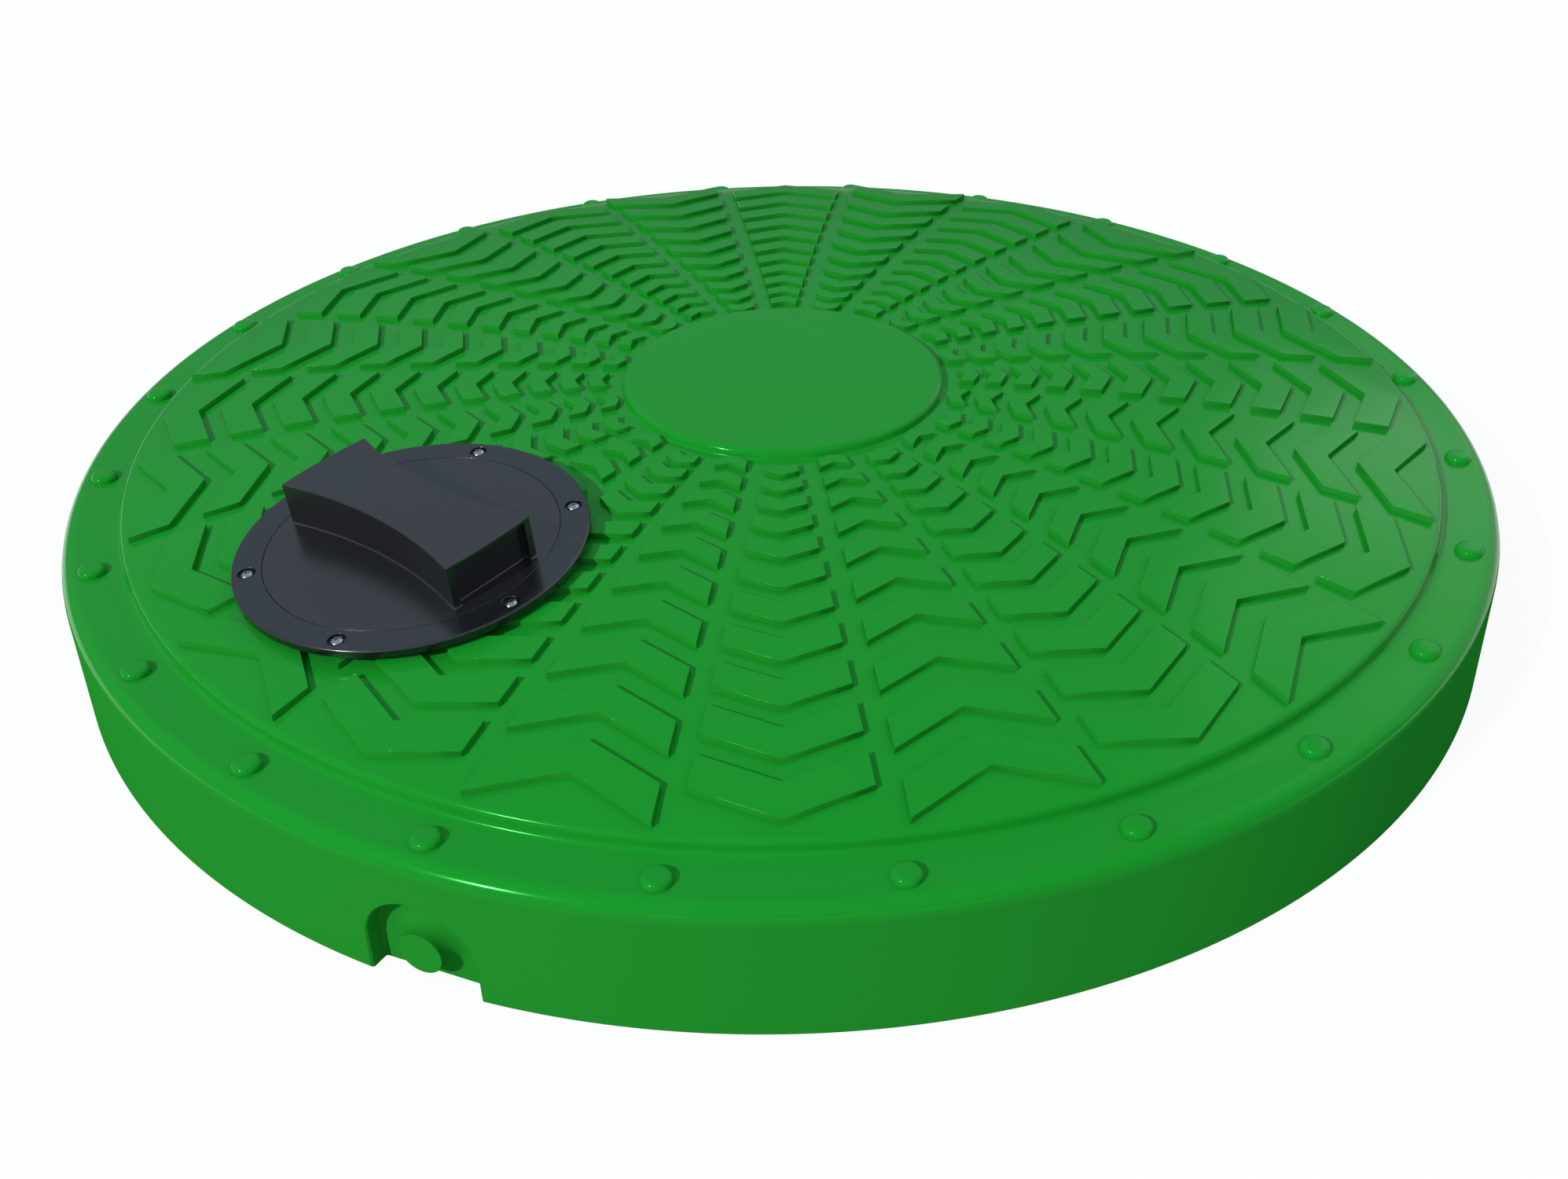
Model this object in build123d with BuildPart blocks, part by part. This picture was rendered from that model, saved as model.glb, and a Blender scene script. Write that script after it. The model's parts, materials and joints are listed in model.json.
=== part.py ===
from build123d import *
import os
from math import asin, cos, hypot, pi, radians, sin, sqrt, tan

# Round moulded cover for a tank opening, standing on the foot of its skirt.
# Millimetres, +Z up, origin at the centre of the foot. Azimuths run
# counter-clockwise from +X, seen from above.

# Skirt and band
foot_radius = 501.6             # outside of the skirt at its foot
rim_radius = 500.0              # outside of the skirt just under the rim
band_height = 86.0              # flat band above the foot
wall = 6.0                      # moulded wall thickness all over
rim_fillet = 11.0               # rounded outer rim

# Crowned panel inside the band
panel_radius = 460.0            # steep step between the band and the panel
step_draft = 1.4                # the step leans back by this much
step_fillet = 4.5               # rounding at the head and the toe of the step
crown_rise = 36.9               # middle of the panel above the band
crown_flat = 112.0              # flat middle of the crown
crown_arc = 2359.0              # radius of the crown's long curve
inner_head_fillet = 1.5         # underside of the step, at its head
inner_toe_fillet = 8.0          # underside of the step, at its toe

# Plain round disc in the middle
disc_radius = 116.0
disc_height = 6.4
disc_draft = 2.0                # foot radius less head radius
disc_edge = 4.5                 # rounding of the disc's edge
disc_toe = 1.5                  # small rounding where it meets the panel

# Anti-slip tread: V-shaped ribs in sectors with channels between them
sectors = 24                    # V ribs point out and in by turns
tread_angle = 0.75              # middle of the first outward sector, degrees
tread_height = 3.8
channel = 14.0                  # open width between two sectors
arm_angle = 24.5                # lean of a rib's arms
rib_base = 3.84                 # rib thickness = base + share of its radius
rib_share = 0.0484
tread_margin = 5.0              # nearest that a rib comes to the step
out_gap = 25.4                  # disc to the nose of the first outward rib
out_step = 20.4                 # first spacing of the outward ribs
out_growth = 2.323              # each spacing is this much wider
in_gap = 13.6                   # disc to the nose of the first inward rib
in_step = 21.6
in_growth = 2.88
tread_root = 1.5                # ribs, studs and disc run this far into the panel

# Low round studs on the band, in line with the channels
stud_circle = 480.0
stud_radius = 9.0
stud_height = 4.3
stud_taper = 2.8                # foot radius less head radius
stud_bevel = 1.5

# Fixing recess in the skirt, with a stub boss in it
recess_azimuth = 248.2
recess_half_width = 33.6
recess_height = 57.0            # crest of its arched top above the foot
recess_depth = 12.3             # skirt face to the flat back wall
recess_draft = 5.0
recess_fillet = 1.5             # rounding of the recess's lip and of its back corners
boss_radius = 13.2
boss_height = 23.5              # boss axis above the foot
boss_reach = 11.7               # back wall to the boss's face
boss_flare = 9.5                # concave flare at the boss's root
boss_rim = 0.3                  # flat edge outside the flare
boss_sink = 2.0                 # boss runs this far into the back wall

# Inspection hatch, tilted with the crown under it
hatch_azimuth = 223.5
hatch_distance = 309.8          # hatch axis to the cover's axis, on the panel
flange_radius = 109.8
flange_thickness = 5.5
flange_fillet = 1.2
seat_gap = 1.2                  # flange to the rib tops, filled by the gasket
neck_bore = 75.0                # radius
neck_wall = 4.0
neck_depth = 28.5               # below the flange
hole_clearance = 1.5            # neck to the hole in the panel
gasket_inset = 4.5              # gasket edge inside the flange edge
gasket_lift = 0.5               # gasket to the middle of the rib tops

# Lid of the hatch
lid_radius = 91.2
lid_clearance = 0.3             # lid to the recess in the flange, all round
lid_rim = 2.6                   # thickness of the lid's rim
lid_seat_gap = 0.2              # under the rim
lid_plate = 3.2                 # thickness inside the plug
lid_edge_fillet = 0.5
plug_clearance = 0.6            # plug to the neck's bore
plug_wall = 5.0
plug_depth = 18.0               # below the lid's face
seal_section = 1.4              # half width of the seal's square section
seal_play = 0.15                # seal to the bore
seal_depth = 6.1                # below the lid's face
groove_play = 0.1               # seal to the groove's walls

# Grip on the lid: a waisted block
grip_angle = 96.6               # long axis from the hatch's outward direction
grip_half_length = 78.3
grip_half_width = 32.4
grip_waist = 21.8               # half width in the middle
grip_height = 28.8
grip_root = 1.2                 # rounding at the foot of the grip
grip_shell = 3.0                # walls round the hollow
end_strip = 5.0                 # side walls beside the recessed ends
end_recess = 4.0                # depth of the recessed ends
end_lip = 2.4                   # top plate over the recessed ends

# Pan head screws, washers and nuts that hold the hatch
screws = 6
screw_circle = 100.4            # radius
screw_angle = 31.7              # first screw from the outward direction
screw_radius = 2.0
screw_play = 0.25               # shank to its holes
head_radius = 4.0
head_height = 2.7
head_bevel = 1.1                # slope round the head's top
head_seat = 2.2                 # depth of the counterbore
seat_radius = 5.4               # counterbore
screw_length = 25.0             # under the head
pad_radius = 7.0                # flat pads under the panel
pad_proud = 1.0                 # pad face below the panel's underside
washer_radius = 4.5
washer_thickness = 0.8
nut_flats = 7.0
nut_height = 3.2
nut_play = 0.05                 # thread crests are left plain

# Values worked out from the sizes above
crown_top = band_height + crown_rise
disc_top = crown_top + disc_height
sector_angle = 360 / sectors
recess_back = foot_radius - recess_depth
boss_foot = boss_radius + boss_flare + boss_rim
panel_under = flange_thickness + seat_gap + tread_height + wall
pad_span = screw_circle + pad_radius
pad_face = panel_under + pad_span ** 2 / (2 * crown_arc) + pad_proud
panel_hole = neck_bore + neck_wall + hole_clearance
plug_radius = neck_bore - plug_clearance
seal_circle = neck_bore - seal_play - seal_section


def crown_z(radius, depth):
    """Height of the crown's curve at a radius, depth mm below its outer face."""
    arc = crown_arc - depth
    return crown_top - crown_arc + sqrt(arc ** 2 - (radius - crown_flat) ** 2)


def corner(sketch, point):
    """The corner of a sketch that lies nearest to a point."""
    return sketch.vertices().sort_by_distance(Vector(*point))[0]


def cover_section(depth, rim, toe, head):
    """Half section of the cover, from the axis to its skin at a depth under the outer face."""
    step_head = panel_radius - step_draft - depth
    middle = (crown_flat + step_head) / 2
    head_corner = (step_head, crown_z(step_head, depth))
    toe_corner = (panel_radius - depth, band_height - depth)
    rim_corner = (rim_radius - depth, band_height - depth)
    with BuildSketch(Plane.XZ) as half:
        with BuildLine():
            flat = Line((0, crown_top - depth), (crown_flat, crown_top - depth))
            ThreePointArc(flat @ 1, (middle, crown_z(middle, depth)), head_corner)
            Polyline(head_corner, toe_corner, rim_corner, (foot_radius - depth, 0), (0, 0), flat @ 0)
        make_face()
        fillet(corner(half, head_corner), head)
        fillet(corner(half, toe_corner), toe)
        fillet(corner(half, rim_corner), rim)
    return half.sketch


def rib_corners(nose, lean):
    """Six corners of a V rib along +X; its arms lean out with a positive lean, in with a negative."""
    slope = tan(radians(lean))
    side = tan(radians(sector_angle / 2))
    gap = channel / 2 / cos(radians(sector_angle / 2))
    half = []
    for tip in (nose, nose - rib_base - rib_share * nose):
        reach = (tip * side - gap) / (1 - slope * side)
        half.append((tip, tip + slope * reach, reach))
    (outer, outer_x, outer_y), (inner, inner_x, inner_y) = half
    right = [(outer, 0), (outer_x, outer_y), (inner_x, inner_y), (inner, 0)]
    return right + [(inner_x, -inner_y), (outer_x, -outer_y)]


def rib_rows(gap, step, growth, lean):
    """Corners of each rib of a sector along +X, from the disc out to the step."""
    rows = []
    nose = disc_radius + gap
    ribs = rib_corners(nose, lean)
    while max(hypot(x, y) for x, y in ribs) < panel_radius - tread_margin:
        rows.append(ribs)
        nose += step
        step += growth
        ribs = rib_corners(nose, lean)
    return rows


def crown_plane(distance, azimuth):
    """Plane that touches the crown at a distance from its axis, with X pointing outward."""
    slope = asin((distance - crown_flat) / crown_arc)
    outward = Vector(cos(radians(azimuth)), sin(radians(azimuth)), 0)
    tangent = outward * cos(slope) - Vector(0, 0, sin(slope))
    normal = outward * sin(slope) + Vector(0, 0, cos(slope))
    touch = outward * distance + Vector(0, 0, crown_z(distance, 0))
    return Plane(origin=touch, x_dir=tangent, z_dir=normal)


# Face of the hatch's flange; the hatch lies on the rib tops, so it leans with the crown
hatch = crown_plane(hatch_distance, hatch_azimuth).offset(tread_height + seat_gap + flange_thickness)
hatch_axis = Axis(hatch.origin, hatch.z_dir)
hatch_section = Plane(origin=hatch.origin, x_dir=hatch.x_dir, z_dir=-hatch.y_dir)


def turned_hatch(angle):
    """The hatch's plane, turned about the hatch's axis."""
    tangent = hatch.x_dir.rotate(Axis((0, 0, 0), hatch.z_dir), angle)
    return Plane(origin=hatch.origin, x_dir=tangent, z_dir=hatch.z_dir)


# The skirt recess faces this way
recess_way = Vector(cos(radians(recess_azimuth)), sin(radians(recess_azimuth)), 0)


def recess_plane(distance):
    """Upright plane across the recess, at a distance from the cover's axis, seen from outside."""
    return Plane(origin=recess_way * distance, x_dir=(-recess_way.Y, recess_way.X, 0), z_dir=recess_way)


def arched_block(half_width, crest, back, draft):
    """Arched block from a back wall out past the skirt, wider towards the outside by a draft angle."""
    shoulder = crest - half_width
    with BuildPart() as block:
        with BuildSketch(recess_plane(back)):
            with BuildLine():
                side = Line((half_width, shoulder), (half_width, -wall))
                foot = Line(side @ 1, (-half_width, -wall))
                rise = Line(foot @ 1, (-half_width, shoulder))
                ThreePointArc(rise @ 1, (0, crest), side @ 0)
            make_face()
        extrude(amount=foot_radius + wall - back, taper=-draft)
    return block.part


# Ribs of two neighbouring sectors; each is drawn on the plane that touches the crown under its middle
with BuildPart() as tread_pair:
    for turn, rows in (
        (tread_angle, rib_rows(out_gap, out_step, out_growth, -arm_angle)),
        (tread_angle + sector_angle, rib_rows(in_gap, in_step, in_growth, arm_angle)),
    ):
        for rib in rows:
            middle = sum(x for x, y in rib) / len(rib)
            with BuildSketch(crown_plane(middle, turn).offset(-tread_root)):
                with BuildLine():
                    Polyline(*[(x - middle, y) for x, y in rib], close=True)
                make_face()
            extrude(amount=tread_root + tread_height)

# One stud of the band, turned about its own axis
with BuildPart() as stud:
    with BuildSketch(Plane.XZ) as stud_half:
        head = (stud_radius - stud_taper, stud_height)
        with BuildLine():
            Polyline((0, -tread_root), (0, stud_height), head, (stud_radius, 0),
                     (stud_radius, -tread_root), close=True)
        make_face()
        chamfer(corner(stud_half, head), stud_bevel)
    revolve(axis=Axis.Z)

# Stub boss in the skirt recess, flared at its root, turned about its own axis
boss_centre = recess_way * recess_back + Vector(0, 0, boss_height)
boss_plane = Plane(origin=boss_centre, x_dir=recess_way, z_dir=(-recess_way.Y, recess_way.X, 0))
with BuildPart() as boss:
    with BuildSketch(boss_plane) as boss_half:
        neck = (0, boss_radius)
        with BuildLine():
            Polyline((boss_reach, 0), (boss_reach, boss_radius), neck, (0, boss_foot),
                     (-boss_sink, boss_foot), (-boss_sink, 0), close=True)
        make_face()
        fillet(corner(boss_half, neck), boss_flare)
    revolve(axis=Axis(boss_centre, recess_way))

# Inside of the cover, with room left for the wall round the skirt recess
with BuildPart() as cavity:
    add(cover_section(wall, rim_fillet - wall, inner_toe_fillet, inner_head_fillet))
    revolve(axis=Axis.Z)
    recess_wall = arched_block(recess_half_width + wall, recess_height + wall, recess_back - wall, 0)
    add(recess_wall, mode=Mode.SUBTRACT)

# Moulded cover: skirt, band, panel, disc, tread, studs and skirt recess in one piece
with BuildPart() as cover_shell:
    add(cover_section(0, rim_fillet, step_fillet, step_fillet))
    revolve(axis=Axis.Z)
    with BuildSketch(Plane.XZ) as disc_half:
        disc_head = (disc_radius - disc_draft, disc_top)
        disc_foot = (disc_radius, crown_top)
        skin = disc_radius + 2 * disc_toe
        with BuildLine():
            Polyline((0, disc_top), disc_head, disc_foot, (skin, crown_top), (skin, crown_top - tread_root),
                     (0, crown_top - tread_root), close=True)
        make_face()
        fillet(corner(disc_half, disc_head), min(disc_edge, disc_height - disc_toe))
        fillet(corner(disc_half, disc_foot), disc_toe)
    revolve(axis=Axis.Z)
    add(cavity.part, mode=Mode.SUBTRACT)
    with PolarLocations(0, sectors // 2):
        add(tread_pair.part)
    with PolarLocations(stud_circle, sectors, start_angle=tread_angle + sector_angle / 2):
        with Locations((0, 0, band_height)):
            add(stud.part)
    recess = arched_block(recess_half_width, recess_height, recess_back, recess_draft)
    add(recess, mode=Mode.SUBTRACT)
    recess_edges = []
    for edge in cover_shell.edges(Select.LAST):
        reach = (edge @ 0.5).dot(recess_way)
        on_lip = reach > rim_radius - recess_fillet
        on_back = abs(reach - recess_back) < recess_fillet / 2 and (edge @ 0.5).Z > 0
        if on_lip or on_back:
            recess_edges.append(edge)
    fillet(recess_edges, recess_fillet)
    add(boss.part)
    # Flat pads under the panel, the hole for the neck and the screw holes
    with BuildSketch(hatch.offset(-pad_face)):
        with PolarLocations(screw_circle, screws, start_angle=screw_angle):
            Circle(pad_radius)
    extrude(amount=pad_face - panel_under)
    with BuildSketch(hatch):
        Circle(panel_hole)
        with PolarLocations(screw_circle, screws, start_angle=screw_angle):
            Circle(screw_radius + screw_play)
    extrude(amount=-pad_face - wall, mode=Mode.SUBTRACT)
cover_shell.part.label = "cover_shell"

# Foam gasket between the flange and the rib tops; its underside follows the crown
with BuildPart() as crown_block:
    add(cover_section(-tread_height - gasket_lift, rim_fillet, step_fillet, step_fillet))
    revolve(axis=Axis.Z)

with BuildPart() as hatch_gasket:
    with BuildSketch(hatch.offset(-flange_thickness)):
        Circle(flange_radius - gasket_inset)
        Circle(panel_hole, mode=Mode.SUBTRACT)
        with PolarLocations(screw_circle, screws, start_angle=screw_angle):
            Circle(screw_radius + screw_play, mode=Mode.SUBTRACT)
    extrude(amount=-panel_under)
    add(crown_block.part, mode=Mode.SUBTRACT)
hatch_gasket.part.label = "hatch_gasket"

# Hatch ring: flange with a recess for the lid, and the neck through the panel
recess_floor = -lid_rim - lid_seat_gap
neck_foot = -flange_thickness - neck_depth
with BuildPart() as hatch_ring:
    with BuildSketch(hatch_section) as ring_half:
        brow = (flange_radius, 0)
        lip = lid_radius + lid_clearance
        throat = (neck_bore, recess_floor)
        with BuildLine():
            Polyline(throat, (lip, recess_floor), (lip, 0), brow, (flange_radius, -flange_thickness),
                     (neck_bore + neck_wall, -flange_thickness), (neck_bore + neck_wall, neck_foot),
                     (neck_bore, neck_foot), close=True)
        make_face()
        fillet(corner(ring_half, brow), flange_fillet)
    revolve(axis=hatch_axis)
    with Locations(hatch):
        with PolarLocations(screw_circle, screws, start_angle=screw_angle):
            CounterBoreHole(screw_radius + screw_play, seat_radius, head_seat)
hatch_ring.part.label = "hatch_ring"

# Square rubber seal between the plug's groove and the bore
with BuildPart() as hatch_seal:
    with BuildSketch(hatch_section):
        with Locations((seal_circle, -seal_depth)):
            Rectangle(2 * seal_section, 2 * seal_section)
    revolve(axis=hatch_axis)
hatch_seal.part.label = "hatch_seal"

# Lid: plate, plug, waisted grip with recessed ends
grip_plane = turned_hatch(grip_angle)
grip_end = hypot(grip_half_length, grip_half_width)


def grip_outline(inset):
    """Waisted outline of the grip, drawn in by an inset."""
    long_side = grip_half_length - inset
    width = grip_half_width - inset
    waist = grip_waist - inset
    with BuildSketch(grip_plane) as outline:
        with BuildLine():
            near = ThreePointArc((-long_side, -width), (0, -waist), (long_side, -width))
            right = ThreePointArc(near @ 1, (grip_end - inset, 0), (long_side, width))
            far = ThreePointArc(right @ 1, (0, waist), (-long_side, width))
            ThreePointArc(far @ 1, (inset - grip_end, 0), near @ 0)
        make_face()
    return outline.sketch


with BuildPart() as grip_hollow:
    add(grip_outline(grip_shell))
    extrude(amount=grip_height - grip_shell)
    add(grip_outline(grip_shell))
    extrude(amount=-lid_plate - plug_wall)
    with BuildSketch(hatch.offset(grip_height)):
        Circle(plug_radius - plug_wall)
    extrude(amount=-grip_height - plug_depth, mode=Mode.INTERSECT)

with BuildPart() as end_recesses:
    with BuildSketch(grip_plane):
        Circle(grip_end + end_recess)
        Circle(grip_end - end_recess, mode=Mode.SUBTRACT)
        Rectangle(2 * (grip_end + end_recess), 2 * (grip_half_width - end_strip), mode=Mode.INTERSECT)
    extrude(amount=grip_height - end_lip)

with BuildPart() as hatch_lid:
    with BuildSketch(hatch_section) as lid_half:
        lid_brow = (lid_radius, 0)
        groove_top = seal_section + groove_play - seal_depth
        groove_foot = -seal_section - groove_play - seal_depth
        groove_floor = seal_circle - seal_section - groove_play
        inner = plug_radius - plug_wall
        with BuildLine():
            Polyline((0, 0), lid_brow, (lid_radius, -lid_rim), (plug_radius, -lid_rim),
                     (plug_radius, groove_top), (groove_floor, groove_top), (groove_floor, groove_foot),
                     (plug_radius, groove_foot), (plug_radius, -plug_depth), (inner, -plug_depth),
                     (inner, -lid_plate), (0, -lid_plate), close=True)
        make_face()
        fillet(corner(lid_half, lid_brow), lid_edge_fillet)
    revolve(axis=hatch_axis)
    add(grip_outline(0))
    extrude(amount=grip_height)
    foot_edges = [
        edge for edge in hatch_lid.edges()
        if abs(hatch.to_local_coords(edge @ 0.5).Z) < grip_root / 2 and edge.length < pi * lid_radius
    ]
    fillet(foot_edges, grip_root)
    add(end_recesses.part, mode=Mode.SUBTRACT)
    add(grip_hollow.part, mode=Mode.SUBTRACT)
hatch_lid.part.label = "hatch_lid"


def screw_plane(number, height):
    """Plane of a hatch screw at a height over the flange's face, with X away from the hatch's axis."""
    turned = turned_hatch(screw_angle + number * 360 / screws)
    seat = turned.from_local_coords((screw_circle, 0, height))
    return Plane(origin=seat, x_dir=turned.x_dir, z_dir=turned.z_dir)


def pan_screw(seat):
    """Pan head machine screw; its head sits on the seat plane."""
    with BuildPart() as screw:
        with BuildSketch(Plane(origin=seat.origin, x_dir=seat.x_dir, z_dir=-seat.y_dir)) as half:
            brow = (head_radius, head_height)
            with BuildLine():
                Polyline((0, head_height), brow, (head_radius, 0), (screw_radius, 0),
                         (screw_radius, -screw_length), (0, -screw_length), close=True)
            make_face()
            chamfer(corner(half, brow), head_bevel)
        revolve(axis=Axis(seat.origin, seat.z_dir))
    return screw.part


def flat_washer(seat):
    """Plain washer that hangs under the seat plane."""
    with BuildPart() as washer:
        with BuildSketch(seat):
            Circle(washer_radius)
            Circle(screw_radius + screw_play, mode=Mode.SUBTRACT)
        extrude(amount=-washer_thickness)
    return washer.part


def hex_nut(seat):
    """Hexagon nut under the seat plane."""
    with BuildPart() as nut:
        with BuildSketch(seat):
            RegularPolygon(nut_flats / 2, 6, major_radius=False)
            Circle(screw_radius + nut_play, mode=Mode.SUBTRACT)
        extrude(amount=-nut_height)
    return nut.part


os.makedirs("parts", exist_ok=True)
for name, part in (
    ("cover_shell", cover_shell.part),
    ("hatch_gasket", hatch_gasket.part),
    ("hatch_ring", hatch_ring.part),
    ("hatch_seal", hatch_seal.part),
    ("hatch_lid", hatch_lid.part),
):
    export_step(part, f"parts/{name}.step")

for number in range(screws):
    fasteners = {
        "screw": pan_screw(screw_plane(number, -head_seat)),
        "washer": flat_washer(screw_plane(number, -pad_face)),
        "nut": hex_nut(screw_plane(number, -pad_face - washer_thickness)),
    }
    for kind, piece in fasteners.items():
        piece.label = f"hatch_{kind}_{number + 1}"
        export_step(piece, f"parts/{piece.label}.step")
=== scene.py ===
"""Looks of a round moulded tank cover with a screw-in inspection hatch.

Sizes are in millimetres and meshes in metres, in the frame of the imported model:
+Z up, origin at the centre of the skirt's foot.
"""

import json
import logging
import math
from dataclasses import dataclass, field
from enum import Enum
from typing import Iterable, Sequence

import bmesh
import bpy
from mathutils import Matrix, Vector


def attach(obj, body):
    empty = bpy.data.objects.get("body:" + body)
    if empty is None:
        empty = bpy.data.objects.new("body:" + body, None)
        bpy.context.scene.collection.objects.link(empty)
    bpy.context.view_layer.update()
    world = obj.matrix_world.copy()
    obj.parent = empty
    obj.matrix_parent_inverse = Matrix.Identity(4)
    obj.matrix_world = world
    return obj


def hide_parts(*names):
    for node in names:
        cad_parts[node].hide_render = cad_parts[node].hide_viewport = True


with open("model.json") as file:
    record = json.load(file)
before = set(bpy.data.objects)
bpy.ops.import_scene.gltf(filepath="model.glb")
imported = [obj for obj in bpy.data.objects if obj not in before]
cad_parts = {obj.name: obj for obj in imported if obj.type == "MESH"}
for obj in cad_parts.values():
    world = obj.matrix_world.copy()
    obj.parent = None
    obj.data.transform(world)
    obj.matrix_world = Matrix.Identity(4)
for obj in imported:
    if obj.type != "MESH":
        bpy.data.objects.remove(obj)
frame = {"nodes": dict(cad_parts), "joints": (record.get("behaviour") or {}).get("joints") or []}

LOG = logging.getLogger("tank_cover")
MM = 0.001
# Lengths under this count as none
TINY = 1e-6
# Corners that turn by less than this many radians count as straight
STRAIGHT = 1e-3
# Keeps the end of a rounding apart from the next corner
HAIR = 0.01
# Segments in each rounding of a profile
ROUND_STEPS = 8
# Edges that turn by more than this many degrees stay sharp, unless a piece says otherwise
SHARP_DEGREES = 32.0

Point2 = tuple[float, float]
Point3 = tuple[float, float, float]
# Two coordinates and the radius of the rounding there
Corner = tuple[float, float, float]
# Outer and inner point at each place along a rib
RibSides = list[tuple[Point2, Point2]]


class Body(Enum):
    """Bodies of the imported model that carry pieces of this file."""

    COVER = "cover"
    LID = "lid"


class Slot(Enum):
    """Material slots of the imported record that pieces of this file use."""

    GREEN = "green_shell"
    BLACK = "hatch_black"
    STEEL = "fastener_steel"


class Operation(Enum):
    """Ways to combine a solid with a tool."""

    JOIN = "UNION"
    CUT = "DIFFERENCE"
    KEEP_COMMON = "INTERSECT"


class LampKind(Enum):
    """Kinds of lamp in the studio."""

    SUN = "SUN"
    AREA = "AREA"


def linear(hex_colour: str) -> tuple[float, float, float, float]:
    """Turns an sRGB hex colour into linear RGBA.

    Args:
        hex_colour: Six hex digits, with or without a leading hash.

    Returns:
        Linear red, green, blue and an alpha of 1.
    """
    digits = hex_colour.lstrip("#")
    parts = [int(digits[i:i + 2], 16) / 255 for i in (0, 2, 4)]
    red, green, blue = (c / 12.92 if c <= 0.04045 else ((c + 0.055) / 1.055) ** 2.4 for c in parts)
    return red, green, blue, 1.0


def add_node(tree: bpy.types.NodeTree, kind: str, inputs: dict[str | int, object] | None = None,
             **settings: object) -> bpy.types.Node:
    """Adds a node with its settings, values and links.

    Args:
        tree: Node tree that gets the node.
        kind: Blender's identifier of the node.
        inputs: Input name or number to a value, or to an output socket to link.
        **settings: Attributes of the node.

    Returns:
        The new node.
    """
    node = tree.nodes.new(kind)
    for name, value in settings.items():
        setattr(node, name, value)
    for key, value in (inputs or {}).items():
        if isinstance(value, bpy.types.NodeSocket):
            tree.links.new(value, node.inputs[key])
        else:
            node.inputs[key].default_value = value
    return node


def cleared_tree(owner: bpy.types.Material | bpy.types.World) -> bpy.types.NodeTree:
    """Turns on the nodes of a material or a world and empties its tree.

    Args:
        owner: The material or the world.

    Returns:
        Its empty node tree.
    """
    owner.use_nodes = True
    owner.node_tree.nodes.clear()
    return owner.node_tree


@dataclass(frozen=True)
class Finish:
    """Two close colours and a roughness that drift together over a surface."""

    name: str
    colour: str
    shade: str
    roughness: float

    def drift(self, tree: bpy.types.NodeTree, spot: bpy.types.NodeSocket, patch_mm: float,
              detail: float, spread: float) -> dict[str | int, object]:
        """Adds the nodes that drift.

        Args:
            tree: The material's node tree.
            spot: Coordinates on the piece.
            patch_mm: Size of a patch.
            detail: Octaves of the noise.
            spread: Drift of the roughness to either side.

        Returns:
            The shader's inputs for colour and roughness.
        """
        patches = add_node(
            tree, "ShaderNodeTexNoise",
            {"Vector": spot, "Scale": 1 / (patch_mm * MM), "Detail": detail},
        ).outputs["Fac"]
        colour = add_node(
            tree, "ShaderNodeMix",
            {"Factor": patches, "A": linear(self.colour), "B": linear(self.shade)},
            data_type="RGBA",
        )
        rough = add_node(
            tree, "ShaderNodeMapRange",
            {"Value": patches, "To Min": self.roughness - spread,
             "To Max": self.roughness + spread},
        )
        return {"Base Color": colour.outputs["Result"], "Roughness": rough.outputs["Result"]}


@dataclass(frozen=True)
class MouldedPlastic(Finish):
    """A moulded thermoplastic: even colour, its gloss and the grain of its mould.

    The grain is drawn coarser than a real mould's, so that it shows.
    """

    grain_mm: float
    grain_depth_mm: float
    shine: float = 0.5
    gleam: str = "#ffffff"
    grain_detail: float = 2.0
    cloud_mm: float = 160.0
    cloud_detail: float = 3.0
    roughness_spread: float = 0.03

    def material(self) -> bpy.types.Material:
        """Builds the material.

        Returns:
            A node material on Object coordinates.
        """
        material = bpy.data.materials.new(self.name)
        tree = cleared_tree(material)
        spot = add_node(tree, "ShaderNodeTexCoord").outputs["Object"]
        grain = add_node(
            tree, "ShaderNodeTexNoise",
            {"Vector": spot, "Scale": 1 / (self.grain_mm * MM), "Detail": self.grain_detail},
        )
        bump = add_node(
            tree, "ShaderNodeBump",
            {"Height": grain.outputs["Fac"], "Distance": self.grain_depth_mm * MM,
             "Strength": 1.0},
        )
        shader = add_node(
            tree, "ShaderNodeBsdfPrincipled",
            {"Specular IOR Level": self.shine, "Specular Tint": linear(self.gleam),
             "Normal": bump.outputs["Normal"],
             **self.drift(tree, spot, self.cloud_mm, self.cloud_detail, self.roughness_spread)},
        )
        add_node(tree, "ShaderNodeOutputMaterial", {"Surface": shader.outputs["BSDF"]})
        return material


@dataclass(frozen=True)
class PlatedSteel(Finish):
    """Steel with a bright zinc plating: a clear metal with faint blotches."""

    blotch_mm: float
    blotch_detail: float = 4.0
    roughness_share: float = 0.3

    def material(self) -> bpy.types.Material:
        """Builds the material.

        Returns:
            A metallic node material on Object coordinates.
        """
        material = bpy.data.materials.new(self.name)
        tree = cleared_tree(material)
        spot = add_node(tree, "ShaderNodeTexCoord").outputs["Object"]
        spread = self.roughness * self.roughness_share
        shader = add_node(
            tree, "ShaderNodeBsdfPrincipled",
            {"Metallic": 1.0,
             **self.drift(tree, spot, self.blotch_mm, self.blotch_detail, spread)},
        )
        add_node(tree, "ShaderNodeOutputMaterial", {"Surface": shader.outputs["BSDF"]})
        return material


# Moulded polyethylene, glossy from a polished mould; its pigment tints the gleam
COVER_GREEN = MouldedPlastic(
    "moulded_polyethylene_green", "#1b982a", "#189327", roughness=0.15,
    grain_mm=0.9, grain_depth_mm=0.002, shine=0.28, gleam="#6cf580",
)
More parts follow.
